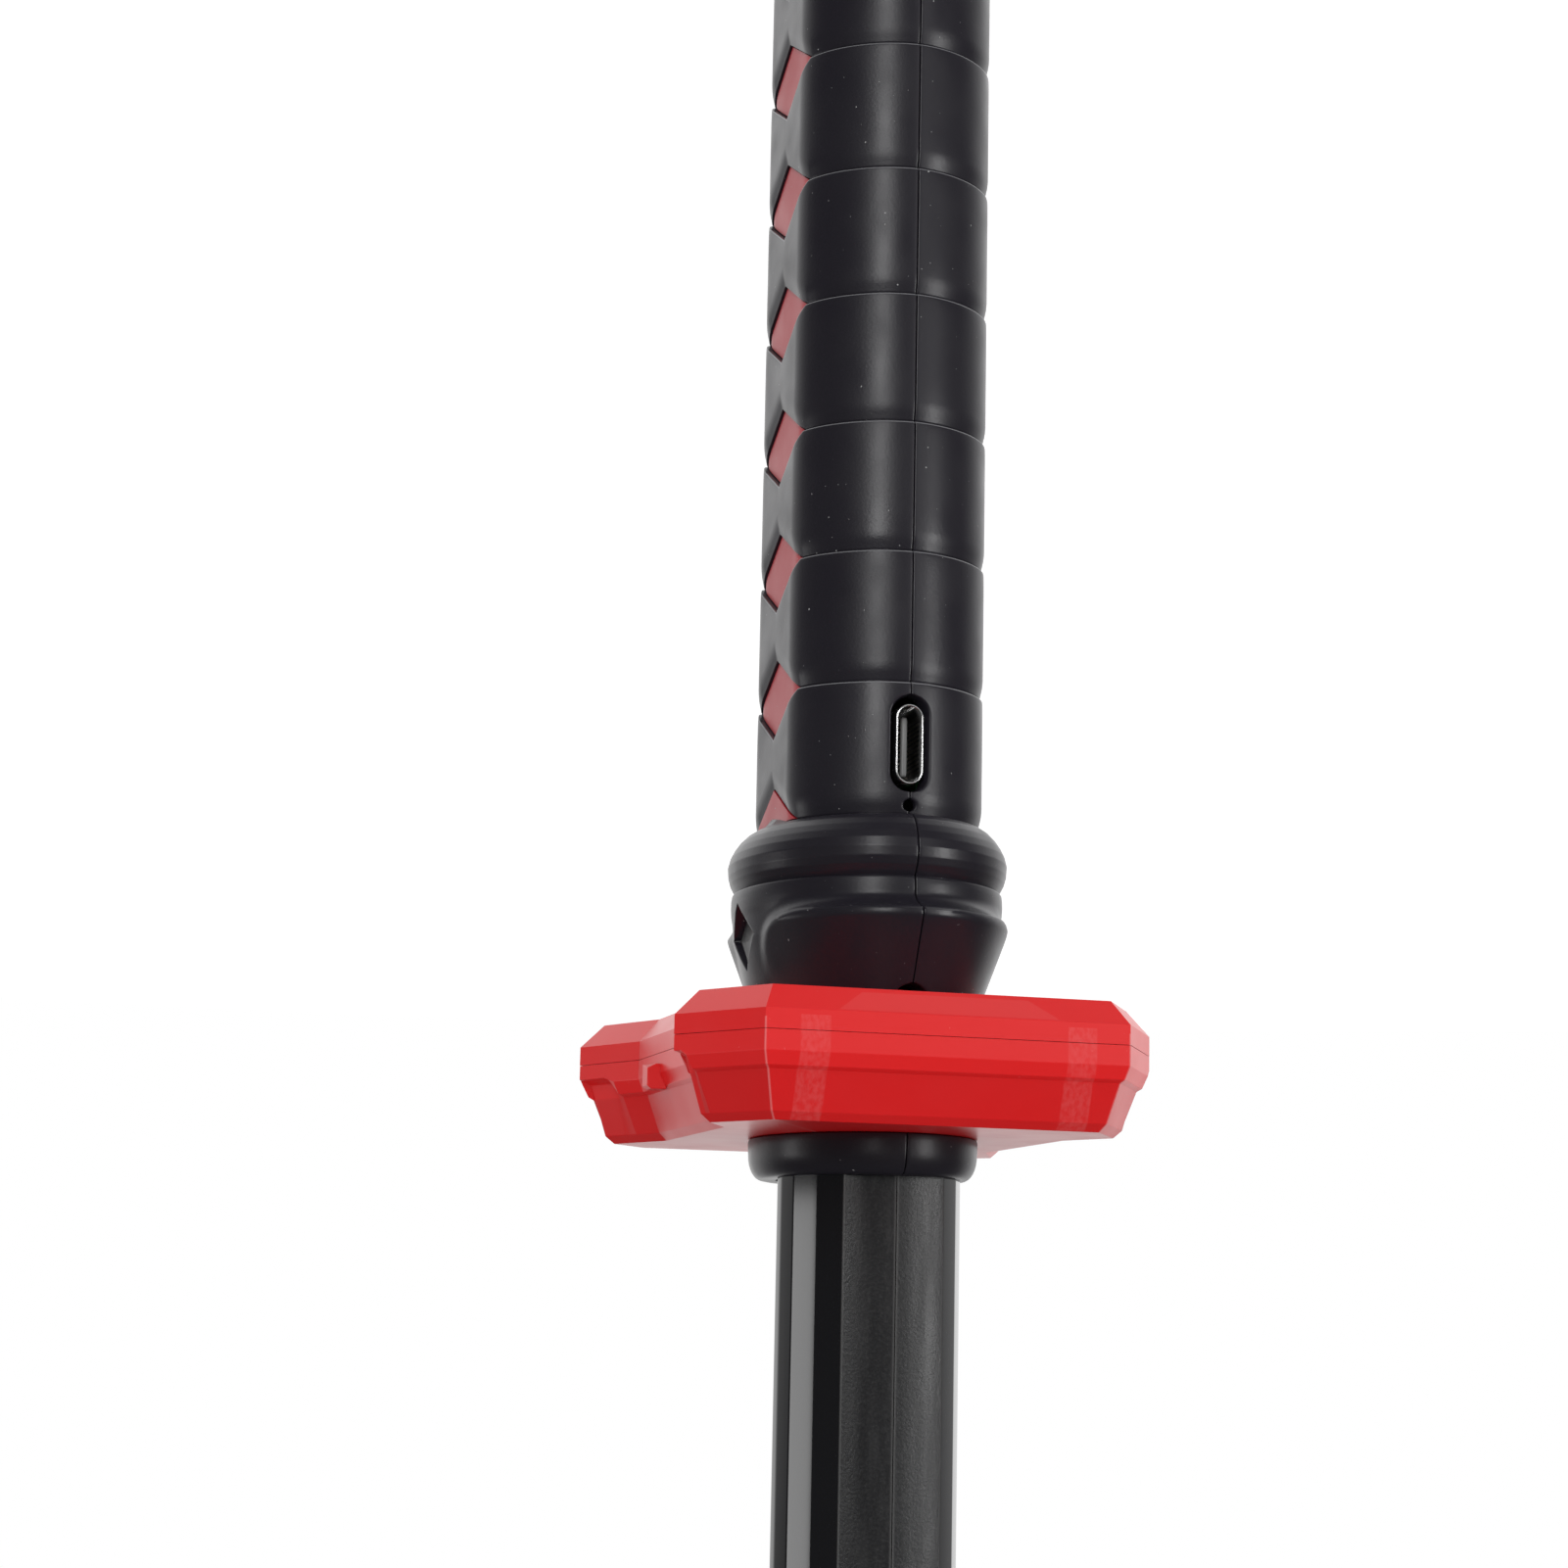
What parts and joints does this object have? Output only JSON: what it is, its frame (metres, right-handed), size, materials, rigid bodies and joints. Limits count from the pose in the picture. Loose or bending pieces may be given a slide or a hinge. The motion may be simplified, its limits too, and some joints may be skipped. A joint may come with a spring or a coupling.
{
  "type": "traffic baton light",
  "caption": "Hand-held traffic baton light with a sword-style wrapped grip, faceted guard, black blade shell, charging socket and sprung mode button.",
  "frame": {"origin": "middle of the pommel's flat foot, where the baton stands upright", "axes": "+Z from the pommel to the blade tip; -Y is the spine side with the charging socket; X crosses the seam between the two half shells, +X is the side with the mode button"},
  "size_m": [0.0544, 0.0624, 0.54],
  "materials": {
    "grip_plastic": "fine moulded grain, satin",
    "inlay_plastic": "smooth satin",
    "guard_plastic": "smooth semi-gloss",
    "blade_plastic": "polished sides, grained spine",
    "button_plastic": "satin",
    "screw_steel": "zinc plated",
    "cell_sleeve": "shrink sleeve",
    "contact_metal": "nickel strip",
    "red_insulation": "insulated wire",
    "black_insulation": "insulated wire",
    "white_insulation": "insulated wire",
    "board_green": "solder mask",
    "board_white": "white solder mask",
    "chip_black": "moulded",
    "socket_metal": "nickel plated",
    "lamp_white": "moulded",
    "light_pipe_clear": "clear",
    "lamp_red": "moulded lens"
  },
  "bodies": {
    "baton": {"grip_shell_left": "grip_plastic", "grip_shell_right": "grip_plastic", "inlay_strip_left": "inlay_plastic", "inlay_strip_right": "inlay_plastic", "guard_upper": "guard_plastic", "guard_lower": "guard_plastic", "guard_screws": "screw_steel", "blade_shell_left": "blade_plastic", "blade_shell_right": "blade_plastic", "pommel_cap": "grip_plastic", "shell_screws": "screw_steel", "battery_cell": "cell_sleeve", "contact_plate_front": "contact_metal", "contact_plate_rear": "contact_metal", "battery_lead_red": "red_insulation", "battery_lead_black": "black_insulation", "main_board": "board_green", "board_screws": "screw_steel", "control_chip": "chip_black", "usb_shell": "socket_metal", "usb_tongue": "chip_black", "indicator_led": "lamp_white", "indicator_light_pipe": "light_pipe_clear", "switch_housing": "chip_black", "lamp_board": "board_white", "lamps_left": "lamp_red", "lamps_right": "lamp_red", "lamp_leads": "white_insulation"},
    "button": {"mode_button": "button_plastic", "switch_plunger": "lamp_white"}
  },
  "joints": [
    {"name": "mode_button_press", "type": "slide", "parent": "baton", "child": "button", "axis": [-1, 0, 0], "range_m": [0, 0.0008], "stiffness_N_per_m": 900, "springref_m": -0.0006}
  ]
}
